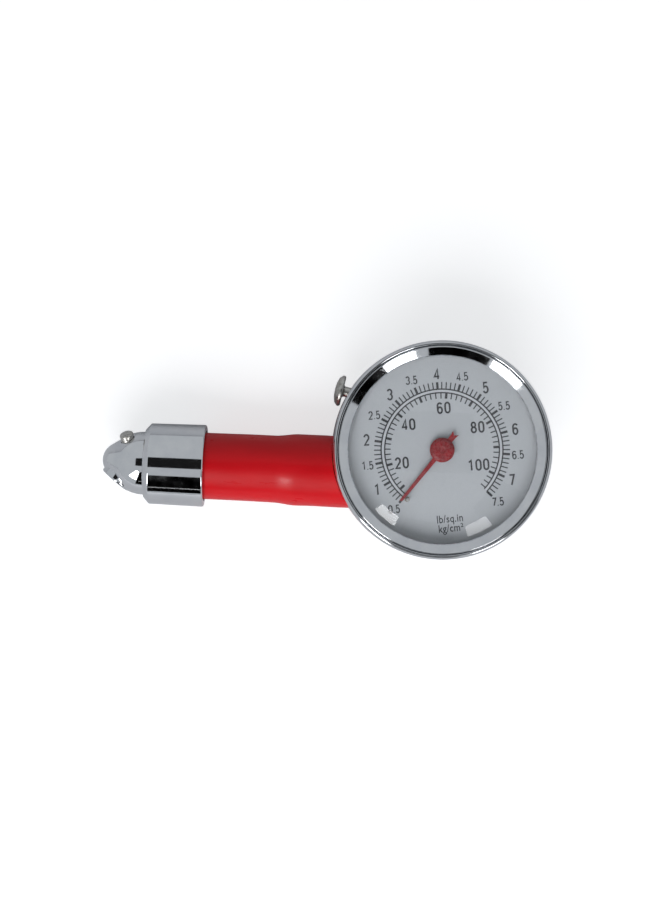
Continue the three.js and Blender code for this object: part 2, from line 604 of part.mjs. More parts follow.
// A pin on a three-cornered foot that lets air past.
function coreDepressor() {
  const foot = rod(2, -8.8, -7.8, 3);
  return join(foot, turned([[0, -8.3], [0.8, -8.3], [0.8, -2.9], [0.5, -2.6], [0, -2.6]], SMALL));
}

add(handle, "chuck_collar", chuckCollar(), "chrome");
add(handle, "chuck_head", chuckHead(), "chrome");
add(handle, "chuck_gasket", tube(3.5, 8.6, 70.9, 71.6), "rubber");
const deflator = add(handle, "deflator_pin", deflatorPin(), "nickel", ...DEFLATOR_FROM);
deflator.quaternion.setFromUnitVectors(new THREE.Vector3(0, 0, 1), DEFLATOR_ALONG);
add(mouth, "valve_seal", tube(1.5, MOUTH_BORE_R - 0.2, -6.3, -4.6), "rubber");
add(mouth, "core_depressor", coreDepressor(), "brass");

// ---- Release button ----

// The mushroom and its stem; the spring pushes on the small shoulder near the stem's end.
function releaseButton() {
  return turned([[0, -12.5], [0.85, -12.5], [0.85, -10.1], [1.75, -10.1], [1.75, -9.5], [0.85, -9.5],
    [0.85, -8.55], [STEM_R, -8.55], [STEM_R, BUTTON_HEAD], [3.6, BUTTON_HEAD], [4.05, BUTTON_HEAD + 0.3],
    [4.05, BUTTON_HEAD + 0.9], [3.5, BUTTON_HEAD + 1.5], [2.4, BUTTON_HEAD + 1.95], [1.2, BUTTON_HEAD + 2.15],
    [0, BUTTON_HEAD + 2.2]], MEDIUM);
}

add(button, "release_button", releaseButton(), "nickel");
add(button, "button_bush", tube(STEM_R + RUNNING + 0.01, BLEED_BORE_R - 0.1, -8.4, -3.1, MEDIUM), "brass");
add(button, "bleed_seal", tube(0.95, 1.75, -9.35, -8.7, MEDIUM), "rubber");
add(button, "button_spring", coilSpring(1.5, 0.22, -14, -10.3, 4), "steel");

export default gauge;
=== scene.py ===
"""Looks of a hand-held dial tyre pressure gauge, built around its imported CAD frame."""
import json
import math

import bmesh
import bpy
from mathutils import Matrix, Vector


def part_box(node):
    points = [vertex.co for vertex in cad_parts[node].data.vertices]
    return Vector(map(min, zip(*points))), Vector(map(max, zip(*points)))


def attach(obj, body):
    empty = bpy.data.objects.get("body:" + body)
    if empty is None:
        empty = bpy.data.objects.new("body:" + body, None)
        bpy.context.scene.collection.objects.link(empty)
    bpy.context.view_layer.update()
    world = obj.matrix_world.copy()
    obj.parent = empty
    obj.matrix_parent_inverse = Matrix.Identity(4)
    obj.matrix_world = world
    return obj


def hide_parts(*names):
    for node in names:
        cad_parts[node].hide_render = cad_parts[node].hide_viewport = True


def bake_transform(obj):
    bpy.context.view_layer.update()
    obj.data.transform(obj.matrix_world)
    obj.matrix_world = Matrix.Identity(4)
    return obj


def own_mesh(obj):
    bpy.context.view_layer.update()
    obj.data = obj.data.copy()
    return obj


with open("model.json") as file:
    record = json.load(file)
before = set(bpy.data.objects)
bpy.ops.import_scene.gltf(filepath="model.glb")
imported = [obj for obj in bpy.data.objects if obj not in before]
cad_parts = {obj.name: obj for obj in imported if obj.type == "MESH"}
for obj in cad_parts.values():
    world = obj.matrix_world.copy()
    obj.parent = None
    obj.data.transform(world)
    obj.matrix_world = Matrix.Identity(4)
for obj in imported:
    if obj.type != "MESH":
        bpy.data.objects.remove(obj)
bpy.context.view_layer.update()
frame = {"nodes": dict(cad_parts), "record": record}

MM = 0.001
TURN = 2 * math.pi
FINEST = 256  # sides of the bezel, whose outline is seen most
FINE = 192  # sides of a large turned piece
MEDIUM = 96
PLAIN = 64  # sides of a small one
TINY = 1e-6


# ---- Places, from the frame ----

def size(node):
    """The node's lowest and highest corners, in millimetres."""
    low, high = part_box(node)
    return low / MM, high / MM


def middle(node):
    low, high = size(node)
    return (low + high) / 2


JOINTS = {row["name"]: row for row in frame["record"]["behaviour"]["joints"]}
SLOTS = {part["node"]: part["material_slot"] for part in frame["record"]["subparts"]}

BEZEL_LOW, BEZEL_HIGH = size("bezel_ring")
BEZEL_R = BEZEL_HIGH.y
BEZEL_TOP = BEZEL_HIGH.z
FLANGE_R = size("case_shell")[1].y
CASE_TOP = size("case_shell")[1].z
CREST = size("crystal_lens")[1].z
DIAL_R = size("dial_plate")[1].y
DIAL_LOW, DIAL_TOP = (corner.z for corner in size("dial_plate"))
POINTER_LOW, POINTER_HIGH = (corner.z for corner in size("pointer"))
COLLAR_LOW, COLLAR_HIGH = size("chuck_collar")
HANDLE_Y, HANDLE_Z = middle("chuck_collar").yz
COLLAR_R = (COLLAR_HIGH.y - COLLAR_LOW.y) / 2
COLLAR_FROM, COLLAR_TO = -COLLAR_HIGH.x, -COLLAR_LOW.x
NOSE_TIP = -size("chuck_head")[0].x
SLEEVE_END = -size("handle_sleeve")[0].x
SLEEVE_R = (size("handle_sleeve")[1].y - size("handle_sleeve")[0].y) / 2
CASE_R = 26
CASE_WALL = 0.9
CASE_SCREWS = ("case_screw_1", "case_screw_2")
WINDOW_R = 24
STOP_PIN = middle("stop_pin")
POINTER_REST = math.radians(233.4)

HANDLE = Matrix.Translation((0, HANDLE_Y, HANDLE_Z)) @ Matrix.Rotation(-math.pi / 2, 4, "Y")

seal = next(mount for mount in frame["record"]["mounts"] if mount["name"] == "valve_seal_face")
MOUTH_OUT = Vector(seal["axis"])
SEAL_DEPTH = 4.6  # of the seal's face, from the mouth
SEAL_POINT = 2.6  # the mount's distance from the mouth's axis
MOUTH_AT = Vector(seal["pos_m"]) / MM - Vector((0, 0, SEAL_POINT)) + MOUTH_OUT * SEAL_DEPTH


def aimed(at, direction):
    """The matrix that turns +Z to a direction and moves the origin to a point."""
    return Matrix.Translation(at) @ Vector((0, 0, 1)).rotation_difference(direction).to_matrix().to_4x4()


MOUTH = aimed(MOUTH_AT, MOUTH_OUT)
BUTTON_OUT = -Vector(JOINTS["button_press"]["axis"])
BUSH_DEPTH = 5.75  # of the bush's middle, from the button's middle
BUTTON_AT = middle("button_bush") + BUTTON_OUT * BUSH_DEPTH
BUTTON = aimed(BUTTON_AT, BUTTON_OUT)


# ---- Meshes ----

def placed(name, data):
    """A new object in the scene."""
    obj = bpy.data.objects.new(name, data)
    bpy.context.scene.collection.objects.link(obj)
    return obj


def rounded(corners, steps=5):
    """Turns [radius, height, fillet] corners into points, each corner with a fillet as an arc."""
    most = 0.49  # of a side that one fillet may use
    points = []
    count = len(corners)
    for i, corner in enumerate(corners):
        here = Vector(corner[:2])
        fillet = corner[2] if len(corner) > 2 else 0
        before = Vector(corners[i - 1][:2]) - here
        after = Vector(corners[(i + 1) % count][:2]) - here
        if fillet <= 0 or before.length < TINY or after.length < TINY:
            points.append(here)
            continue
        half = before.angle(after) / 2
        reach = min(fillet / math.tan(half), most * before.length, most * after.length)
        start, end = here + before.normalized() * reach, here + after.normalized() * reach
        centre = here + (before.normalized() + after.normalized()).normalized() * (reach / math.cos(half))
        radius = (start - centre).length
        for k in range(steps + 1):
            point = start.lerp(end, k / steps) - centre
            points.append(centre + point.normalized() * radius)
    return points


def arc(radial, axial, centre, start, end, steps):
    """Points on an ellipse about a centre on the axis."""
    angles = [start + (end - start) * i / steps for i in range(steps + 1)]
    return [(radial * math.cos(a), centre + axial * math.sin(a)) for a in angles]


def piece(name, verts, faces):
    """A mesh object in metres from vertices in millimetres, smooth apart from its sharp edges."""
    mesh = bpy.data.meshes.new(name)
    mesh.from_pydata([Vector(v) * MM for v in verts], [], faces)
    work = bmesh.new()
    work.from_mesh(mesh)
    bmesh.ops.remove_doubles(work, verts=work.verts, dist=1e-7)
    bmesh.ops.recalc_face_normals(work, faces=work.faces)
    work.to_mesh(mesh)
    work.free()
    return even(placed(name, mesh))


def turned(name, profile, place=Matrix(), sides=FINE, shape=None):
    """A piece turned about Z from (radius, height) points. shape may move each point before it is placed."""
    verts, faces, rings = [], [], []
    for radius, height in profile:
        count = 1 if radius < TINY else sides
        rings.append([len(verts) + i for i in range(count)])
        for i in range(count):
            angle = TURN * i / sides
            point = Vector((radius * math.cos(angle), radius * math.sin(angle), height))
            verts.append(place @ (shape(point) if shape else point))
    follows = list(zip(rings, rings[1:]))
    if len(rings[0]) > 1 and len(rings[-1]) > 1:
        follows.append((rings[-1], rings[0]))
    for low, high in follows:
        for i in range(sides):
            quad = [ring[k % len(ring)] for ring, k in ((low, i), (low, i + 1), (high, i + 1), (high, i))]
            corners = list(dict.fromkeys(quad))
            if len(corners) > 2:
                faces.append(corners)
    return piece(name, verts, faces)


def extruded(name, outline, low, high, place, bevel):
    """A flat plate from a closed outline, with softened edges."""
    verts = [place @ Vector((x, y, z)) for z in (low, high) for x, y in outline]
    count = len(outline)
    faces = [list(range(count))[::-1], list(range(count, 2 * count))]
    faces += [[i, (i + 1) % count, count + (i + 1) % count, count + i] for i in range(count)]
    return soften(piece(name, verts, faces), bevel)


def apply_modifiers(obj):
    """Turns the object's modifiers into its mesh."""
    graph = bpy.context.evaluated_depsgraph_get()
    mesh = bpy.data.meshes.new_from_object(obj.evaluated_get(graph))
    obj.modifiers.clear()
    obj.data = mesh
    return obj


def even(obj, sharp=32):
    """Smooth shading whose normals follow the large faces, so that flats stay flat next to fillets."""
    obj.data.shade_smooth()
    obj.data.set_sharp_from_angle(angle=math.radians(sharp))
    modifier = obj.modifiers.new("normals", "WEIGHTED_NORMAL")
    modifier.keep_sharp = True
    return apply_modifiers(obj)


def soften(obj, width):
    """Gives the object's edges a small round bevel."""
    modifier = obj.modifiers.new("bevel", "BEVEL")
    modifier.width = width * MM
    modifier.segments = 2
    modifier.limit_method = "ANGLE"
    return even(apply_modifiers(obj), 40)


def combine(obj, others, operation="DIFFERENCE", sharp=32):
    """Cuts the other pieces out of a piece, or joins them to it, and removes them."""
    for other in others:
        modifier = obj.modifiers.new("boolean", "BOOLEAN")
        modifier.operation = operation
        modifier.solver = "EXACT"
        modifier.object = other
    apply_modifiers(obj)
    for other in others:
        bpy.data.objects.remove(other)
    return even(obj, sharp)


def merge(name, objects):
    """One object from several."""
    work = bmesh.new()
    for obj in objects:
        work.from_mesh(obj.data)
        bpy.data.objects.remove(obj)
    mesh = bpy.data.meshes.new(name)
    work.to_mesh(mesh)
    work.free()
    return placed(name, mesh)


# ---- Materials ----

NOISE_LOW, NOISE_HIGH = 0.3, 0.7  # the range that most of a noise's values lie in


class Recipe:
    """A material's node tree, with short ways to add to it."""

    def __init__(self, name, base, metallic, roughness, **sockets):
        self.material = bpy.data.materials.new(name)
        self.material.use_nodes = True
        self.tree = self.material.node_tree
        self.shader = self.tree.nodes["Principled BSDF"]
        self.set("Base Color", (*base, 1))
        self.set("Metallic", metallic)
        self.set("Roughness", roughness)
        for socket, value in sockets.items():
            self.set(socket.replace("_", " "), value)
        self.place = self.tree.nodes.new("ShaderNodeTexCoord").outputs["Object"]

    def set(self, socket, value):
        self.shader.inputs[socket].default_value = value

    def link(self, source, target):
        self.tree.links.new(source, target)

    def noise(self, scale, detail, stretch=(1, 1, 1)):
        """Noise in object space; scale counts its lumps per metre."""
        mapping = self.tree.nodes.new("ShaderNodeMapping")
        mapping.inputs["Scale"].default_value = stretch
        self.link(self.place, mapping.inputs["Vector"])
        noise = self.tree.nodes.new("ShaderNodeTexNoise")
        noise.inputs["Scale"].default_value = scale
        noise.inputs["Detail"].default_value = detail
        noise.inputs["Roughness"].default_value = 0.55
        self.link(mapping.outputs["Vector"], noise.inputs["Vector"])
        return noise.outputs["Fac"]

    def ramp(self, source, low, high):
        """Maps a noise onto a range."""
        node = self.tree.nodes.new("ShaderNodeMapRange")
        node.inputs["From Min"].default_value = NOISE_LOW
        node.inputs["From Max"].default_value = NOISE_HIGH
        node.inputs["To Min"].default_value = low
        node.inputs["To Max"].default_value = high
        self.link(source, node.inputs["Value"])
        return node.outputs["Result"]

    def colours(self, source, first, second):
        """Varies the base colour between two. Sockets 6, 7 and 2 are the Mix node's colours."""
        mix = self.tree.nodes.new("ShaderNodeMix")
        mix.data_type = "RGBA"
        mix.inputs[6].default_value = (*first, 1)
        mix.inputs[7].default_value = (*second, 1)
        self.link(self.ramp(source, 0, 1), mix.inputs[0])
        self.link(mix.outputs[2], self.shader.inputs["Base Color"])

    def rough(self, source, low, high):
        """Varies the roughness between two values."""
        self.link(self.ramp(source, low, high), self.shader.inputs["Roughness"])

    def bump(self, source, height, strength):
        """Adds relief of a height in millimetres on top of any that is there already."""
        node = self.tree.nodes.new("ShaderNodeBump")
        node.inputs["Distance"].default_value = height * MM
        node.inputs["Strength"].default_value = strength
        self.link(source, node.inputs["Height"])
        normal = self.shader.inputs["Normal"]
        if normal.is_linked:
            self.link(normal.links[0].from_socket, node.inputs["Normal"])
        self.link(node.outputs["Normal"], normal)


def chrome():
    """Bright plate: mirror-like, with faint waves, smudges and hairlines."""
    recipe = Recipe("chrome_plate", (0.72, 0.735, 0.765), 1.0, 0.05)
    smudge = recipe.noise(160, 5)
    recipe.colours(smudge, (0.66, 0.675, 0.71), (0.76, 0.77, 0.79))
    recipe.rough(recipe.noise(420, 6), 0.03, 0.10)
    recipe.bump(recipe.noise(90, 2), 0.05, 0.25)
    recipe.bump(recipe.noise(2500, 2, (1, 14, 1)), 0.002, 0.2)
    return recipe.material


def nickel():
    """Worn plate on small turned parts: warmer, duller and finely pitted."""
    recipe = Recipe("worn_nickel", (0.50, 0.48, 0.45), 1.0, 0.3)
    recipe.colours(recipe.noise(900, 6), (0.36, 0.345, 0.32), (0.62, 0.605, 0.58))
    recipe.rough(recipe.noise(1400, 5), 0.2, 0.42)
    recipe.bump(recipe.noise(2600, 4), 0.02, 0.5)
    recipe.bump(recipe.noise(500, 3), 0.05, 0.35)
    return recipe.material


def case_steel():
    """Satin plated steel, drawn: long faint streaks up the wall."""
    recipe = Recipe("satin_case", (0.52, 0.53, 0.55), 1.0, 0.3)
    streaks = recipe.noise(1200, 4, (1, 1, 0.06))
    recipe.colours(recipe.noise(120, 5), (0.46, 0.47, 0.49), (0.60, 0.61, 0.63))
    recipe.rough(streaks, 0.2, 0.38)
    recipe.bump(streaks, 0.004, 0.4)
    recipe.bump(recipe.noise(140, 3), 0.03, 0.3)
    return recipe.material


def brass():
    """Machined brass with turning marks and slight tarnish."""
    recipe = Recipe("machined_brass", (0.62, 0.44, 0.17), 1.0, 0.3)
    recipe.colours(recipe.noise(260, 6), (0.45, 0.30, 0.11), (0.72, 0.53, 0.24))
    marks = recipe.noise(3000, 3, (1, 1, 0.15))
    recipe.rough(marks, 0.22, 0.42)
    recipe.bump(marks, 0.004, 0.5)
    return recipe.material


def steel():
    """Bright steel with fine grinding marks."""
    recipe = Recipe("bright_steel", (0.56, 0.57, 0.58), 1.0, 0.28)
    marks = recipe.noise(3500, 4, (1, 0.2, 1))
    recipe.colours(recipe.noise(500, 5), (0.46, 0.47, 0.48), (0.64, 0.645, 0.65))
    recipe.rough(marks, 0.18, 0.36)
    recipe.bump(marks, 0.003, 0.5)
    return recipe.material


def rubber():
    """Black moulded rubber with a dry, slightly grainy skin."""
    recipe = Recipe("black_rubber", (0.022, 0.022, 0.024), 0.0, 0.65)
    recipe.colours(recipe.noise(300, 5), (0.014, 0.014, 0.015), (0.04, 0.04, 0.042))
    recipe.rough(recipe.noise(800, 4), 0.55, 0.8)
    recipe.bump(recipe.noise(5000, 3), 0.01, 0.5)
    return recipe.material


def dial_paint():
    """Silver-grey paint: a fine metallic speckle under a satin lacquer."""
    recipe = Recipe("dial_paint", (0.42, 0.44, 0.465), 0.25, 0.5)
    recipe.colours(recipe.noise(9000, 2), (0.395, 0.415, 0.44), (0.465, 0.485, 0.51))
    recipe.rough(recipe.noise(700, 4), 0.42, 0.58)
    recipe.bump(recipe.noise(12000, 2), 0.004, 0.4)
    return recipe.material


def ink(name, colour, other):
    """Print on the dial, a little uneven where the ink is thin."""
    recipe = Recipe(name, colour, 0.0, 0.45)
    recipe.colours(recipe.noise(3200, 4), colour, other)
    recipe.rough(recipe.noise(2400, 3), 0.38, 0.6)
    return recipe.material


def enamel():
    """Red enamel on the pointer, glossy with slight orange peel."""
    recipe = Recipe("red_enamel", (0.22, 0.002, 0.006), 0.0, 0.3, Coat_Weight=0.15, Coat_Roughness=0.08)
    recipe.colours(recipe.noise(700, 4), (0.18, 0.001, 0.004), (0.26, 0.003, 0.008))
    recipe.rough(recipe.noise(1600, 3), 0.22, 0.38)
    recipe.bump(recipe.noise(1500, 2), 0.01, 0.25)
    return recipe.material


def red_pvc():
    """Soft red plastic sleeve: glossy, faintly streaked along its length, with small dents."""
    recipe = Recipe("red_sleeve", (0.67, 0.004, 0.010), 0.0, 0.3, Coat_Weight=0.08, Coat_Roughness=0.06,
                    Specular_IOR_Level=0.22, Subsurface_Weight=0.05, Subsurface_Scale=0.002)
    recipe.colours(recipe.noise(110, 5, (0.35, 1, 1)), (0.62, 0.003, 0.008), (0.71, 0.005, 0.012))
    recipe.rough(recipe.noise(420, 5, (0.3, 1, 1)), 0.26, 0.36)
    recipe.bump(recipe.noise(60, 2, (0.5, 1, 1)), 0.1, 0.3)
    recipe.bump(recipe.noise(4000, 2), 0.003, 0.25)
    return recipe.material


def clear_window():
    """Clear moulded window. Light from lamps passes straight through it."""
    recipe = Recipe("clear_window", (0.985, 0.99, 0.995), 0.0, 0.0, Transmission_Weight=1.0, IOR=1.46)
    recipe.rough(recipe.noise(300, 5), 0.0, 0.012)
    recipe.bump(recipe.noise(70, 2), 0.008, 0.06)
    tree = recipe.tree
    through = tree.nodes.new("ShaderNodeBsdfTransparent")
    path = tree.nodes.new("ShaderNodeLightPath")
    mix = tree.nodes.new("ShaderNodeMixShader")
    output = tree.nodes["Material Output"]
    recipe.link(path.outputs["Is Shadow Ray"], mix.inputs[0])
    recipe.link(recipe.shader.outputs[0], mix.inputs[1])
    recipe.link(through.outputs[0], mix.inputs[2])
    recipe.link(mix.outputs[0], output.inputs["Surface"])
    return recipe.material


MATERIALS = {
    "chrome": chrome(), "nickel": nickel(), "case": case_steel(), "brass": brass(), "steel": steel(),
    "rubber": rubber(), "dial": dial_paint(), "pointer": enamel(), "sleeve": red_pvc(),
    "crystal": clear_window(),
}
BLACK_INK = ink("black_ink", (0.008, 0.008, 0.010), (0.030, 0.030, 0.034))
PALE_INK = ink("pale_ink", (0.44, 0.46, 0.49), (0.52, 0.54, 0.57))


def paint(obj, material):
    obj.data.materials.clear()
    obj.data.materials.append(material)


def show(obj, slot, body, *nodes, material=None):
    """Gives a piece its material and body, and hides the CAD nodes it stands for."""
    paint(obj, material or MATERIALS[slot])
    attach(obj, body)
    if nodes:
        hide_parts(*nodes)


# ---- Head ----

WINDOW_RISE = 4.3
WINDOW_WALL = 1.6
WINDOW_EYE = 22.4  # radius of the hollow under the window
BORE_R = 2.2  # of the button's opening in the case, and of the bore behind the mouth


def case_body():
    """The drawn cup, with a flange under the bezel and openings for the handle, button and screws."""
    inner = CASE_R - CASE_WALL
    low = BEZEL_LOW.z + 1.2
    profile = rounded([
        (0, 0), (CASE_R, 0, 2.4), (CASE_R, low, 0.4),
        (FLANGE_R, low, 0.15), (FLANGE_R, low + CASE_WALL, 0.15),
        (CASE_R, low + CASE_WALL, 0.2), (CASE_R, CASE_TOP, 0.15), (inner, CASE_TOP, 0.15),
        (inner, CASE_WALL, 1.6), (0, CASE_WALL),
    ])
    shell = turned("case_body", profile)
    inlet = turned("cut", [(0, 20), (5, 20), (5, 30), (0, 30)], HANDLE, PLAIN)
    bore = turned("cut", [(0, -8), (BORE_R, -8), (BORE_R, -2), (0, -2)], BUTTON, PLAIN)
    cutters = [inlet, bore]
    for name in CASE_SCREWS:
        at = middle(name)
        sink = [(0, -1), (3.2, -1), (2.4, 0), (1.5, CASE_WALL), (1.5, 2), (0, 2)]
        cutters.append(turned("cut", sink, Matrix.Translation((at.x, at.y, 0)), PLAIN))
    return combine(shell, cutters)


def bezel():
    """A rolled rim with a dark groove inside it, then a bevel down to the window."""
    top = BEZEL_TOP
    low = BEZEL_LOW.z
    profile = rounded([
        (26.4, low + 0.2, 0.3), (27.75, low, 0.3), (BEZEL_R, low + 0.6, 0.5), (BEZEL_R - 0.2, top - 3, 2.0),
        (27.85, top - 0.9, 0.8), (27.3, top, 0.55), (26.8, top - 0.05, 0.2), (26.66, top - 0.7, 0.04),
        (26.54, top - 0.7, 0.04), (26.4, top - 0.1, 0.14), (26.1, top - 0.2, 0.2),
        (WINDOW_R + 0.15, top - 1.4, 0.3), (WINDOW_R - 0.1, top - 1.75, 0.12),
        (WINDOW_R + 0.1, top - 2.05, 0.1), (25.9, top - 1.4, 0.2), (27.45, top - 1.4, 0.3),
        (27.45, low + 0.9, 0.2), (26.4, low + 0.9, 0.1)], 6)
    return turned("bezel", profile, sides=FINEST)


def window():
    """A domed window with a ledge that the bezel holds."""
    ledge = WINDOW_R - 0.3
    sphere = (ledge ** 2 + WINDOW_RISE ** 2) / (2 * WINDOW_RISE)
    low = size("crystal_lens")[0].z
    rim = size("crystal_lens")[1].y
    span = math.asin(ledge / sphere)
    outside = arc(sphere, sphere, CREST - sphere, math.pi / 2 - span, math.pi / 2, 24)
    inner = sphere - WINDOW_WALL
    inner_span = math.asin(WINDOW_EYE / inner)
    inside = arc(inner, inner, CREST - WINDOW_WALL - inner, math.pi / 2, math.pi / 2 - inner_span, 24)
    outside[-1] = (0, outside[-1][1])
    inside[0] = (0, inside[0][1])
    return turned("window", [*inside, (WINDOW_EYE, low), (rim, low), (rim, low + 1.2), *outside])


def fixed_text(text, height, at, turn, low, high):
    """A line of narrow, slightly bold type as a flat solid, centred on a point of the dial."""
    curve = bpy.data.curves.new("type", "FONT")
    curve.body = text
    curve.align_x = "CENTER"
    curve.align_y = "CENTER"
    curve.size = 1
    curve.offset = 0.012
    curve.space_character = 1.06
    curve.resolution_u = 4
    curve.extrude = 0.5
    holder = placed("type", curve)
    graph = bpy.context.evaluated_depsgraph_get()
    mesh = bpy.data.meshes.new_from_object(holder.evaluated_get(graph))
    bpy.data.objects.remove(holder)
    flat = Matrix.Diagonal((height * 0.82, height, high - low, 1))
    place = Matrix.Translation((at[0], at[1], (low + high) / 2)) @ Matrix.Rotation(turn, 4, "Z") @ flat
    mesh.transform(Matrix.Scale(MM, 4) @ place)
    return placed("type", mesh)


SCALE_FROM, SCALE_TO = 0.5, 7.5  # kg/cm2
SCALE_START = 233.5  # degrees, at the scale's low end
PER_UNIT = 39.1  # degrees for 1 kg/cm2
PSI = 14.223  # lb/sq.in in 1 kg/cm2
TYPE_TURN = math.radians(7)
RING_OUT, RING_IN = 15.45, 14.55
TICK_OUT, TICK_IN = 17.25, 13.05
TICK, BOLD_TICK, BOLD_INNER_TICK = 0.3, 0.6, 0.62
RING_LINE = 0.34
PRINT = 0.03  # height of the ink
CAP = 1.37  # a type size that gives capitals of 1
OUTER_NUMBERS = 19.3  # radius
INNER_NUMBERS, WIDE_NUMBER = 10.7, 10.0  # radii, the second for 100
INNER_LEAN = math.radians(2.2)  # of the inner numbers past their ticks
UNITS_AT, UNITS_TURN = math.radians(279), math.radians(8)  # where the units stand, and their turn


def bearing(value):
    """The direction of a pressure in kg/cm2 on the dial."""
    return math.radians(SCALE_START - PER_UNIT * (value - SCALE_FROM))


def stroke(angle, inner, outer, width):
    """A tick, as the corners of a thin slab."""
    along = Vector((math.cos(angle), math.sin(angle)))
    aside = Vector((-along.y, along.x)) * width / 2
    flat = [along * inner - aside, along * outer - aside, along * outer + aside, along * inner + aside]
    return [(*p, z) for z in (DIAL_TOP, DIAL_TOP + PRINT) for p in flat]


BOX_FACES = [(3, 2, 1, 0), (4, 5, 6, 7), (0, 1, 5, 4), (1, 2, 6, 5), (2, 3, 7, 6), (3, 0, 4, 7)]


def arc_band(name, inner, outer, start, end, low, high, steps=160):
    """A flat band round the dial's axis between two bearings."""
    verts, faces = [], []
    for i in range(steps + 1):
        angle = start + (end - start) * i / steps
        for radius, height in ((inner, low), (outer, low), (outer, high), (inner, high)):
            verts.append((radius * math.cos(angle), radius * math.sin(angle), height))
    for i in range(steps):
        for k in range(4):
            a, b = 4 * i + k, 4 * i + (k + 1) % 4
            faces.append((a, b, b + 4, a + 4))
    faces += [(3, 2, 1, 0), tuple(4 * steps + k for k in range(4))]
    return piece(name, verts, faces)


def scale_ticks():
    """The ticks of both scales as one piece: kg/cm2 outside the rings, lb/sq.in inside."""
    verts, faces, ticks = [], [], []
    for i in range(round((SCALE_TO - SCALE_FROM) * 10) + 1):
        ticks.append((SCALE_FROM + i / 10, RING_OUT, TICK_OUT, BOLD_TICK if i % 5 == 0 else TICK))
    for psi in range(10, 108, 2):
        ticks.append((psi / PSI, TICK_IN, RING_IN, BOLD_INNER_TICK if psi % 10 == 0 else TICK))
    for value, inner, outer, width in ticks:
        base = len(verts)
        verts += stroke(bearing(value), inner, outer, width)
        faces += [tuple(base + k for k in face) for face in BOX_FACES]
    return piece("ticks", verts, faces)


def bow(x, y, wide, tall, start, end, steps=14):
    """An arc of an ellipse, between angles in degrees."""
    angles = [math.radians(start + (end - start) * i / steps) for i in range(steps + 1)]
    return [(x + wide * math.cos(a), y + tall * math.sin(a)) for a in angles]


# Each figure's strokes in a box 1 wide and 1 high, and whether each stroke closes on itself.
FIGURES = {
    "0": [(bow(0.5, 0.7, 0.5, 0.3, 0, 180) + bow(0.5, 0.3, 0.5, 0.3, 180, 360), True)],
    "1": [([(0.12, 0.8), (0.62, 1.0), (0.62, 0.0)], False)],
    "2": [(bow(0.5, 0.72, 0.48, 0.28, 170, -28) + [(0.02, 0.0), (1.0, 0.0)], False)],
    "3": [(bow(0.46, 0.75, 0.46, 0.25, 160, -70, 10) + bow(0.46, 0.27, 0.5, 0.27, 70, -160), False)],
    "4": [([(0.76, 0.0), (0.76, 1.0), (0.0, 0.26), (1.06, 0.26)], False)],
    "5": [([(0.9, 1.0), (0.14, 1.0), (0.08, 0.5)] + bow(0.46, 0.32, 0.5, 0.32, 118, -155), False)],
    "6": [(bow(0.5, 0.3, 0.48, 0.3, 0, 360, 20)[:-1], True),
          (bow(0.52, 0.72, 0.5, 0.28, 30, 180) + [(0.02, 0.3)], False)],
    "7": [([(0.0, 1.0), (1.0, 1.0), (0.36, 0.0)], False)],
    "8": [(bow(0.5, 0.76, 0.42, 0.24, 0, 360, 20)[:-1], True),
          (bow(0.5, 0.26, 0.5, 0.26, 0, 360, 20)[:-1], True)],
    ".": [([(0.0, -0.03), (0.0, 0.07)], False)],
}
FIGURE_WIDE = 0.38  # a figure's width between the middles of its strokes, in heights
SHARPEST = 0.6  # keeps a stroke's corner from reaching out too far


def ribbon(points, closed, width, low, high):
    """A flat band of even width along a line, as vertices and faces."""
    path = [Vector(p) for p in points]
    count = len(path)
    verts, faces = [], []
    for i, here in enumerate(path):
        before = path[i - 1] if closed or i else None
        after = path[(i + 1) % count] if closed or i < count - 1 else None
        ways = [(here - before).normalized()] if before else []
        ways += [(after - here).normalized()] if after else []
        along = sum(ways, Vector((0, 0))).normalized()
        reach = width / 2 / max(SHARPEST, along.dot(ways[0]))
        aside = Vector((-along.y, along.x)) * reach
        for z in (low, high):
            verts += [(*(here + aside), z), (*(here - aside), z)]
    for i in range(count if closed else count - 1):
        a, b = 4 * i, 4 * ((i + 1) % count)
        faces += [(a, a + 1, b + 1, b), (a + 2, b + 2, b + 3, a + 3),
                  (a, b, b + 2, a + 2), (a + 1, a + 3, b + 3, b + 1)]
    if not closed:
        last = 4 * (count - 1)
        faces += [(0, 2, 3, 1), (last, last + 1, last + 3, last + 2)]
    return verts, faces


def number(text, height, weight, at, turn, low, high):
    """A number in plain narrow figures, centred on a point of the dial."""
    tall = height - weight
    wide = FIGURE_WIDE * height
    widths = [weight * 1.5 if c == "." else wide + weight * 1.75 for c in text]
    verts, faces = [], []
    x = -sum(widths) / 2
    for c, step in zip(text, widths):
        for points, closed in FIGURES[c]:
            spread = 0 if c == "." else wide
            start = x + step / 2 - spread / 2
            line = [(start + px * spread, (py - 0.5) * tall) for px, py in points]
            more, their = ribbon(line, closed, weight, low, high)
            faces += [tuple(len(verts) + k for k in face) for face in their]
            verts += more
        x += step
    place = Matrix.Translation((at[0], at[1], 0)) @ Matrix.Rotation(turn, 4, "Z")
    return piece("number", [place @ Vector(v) for v in verts], faces)


def on_dial(angle, radius):
    return Vector((math.cos(angle), math.sin(angle))) * radius


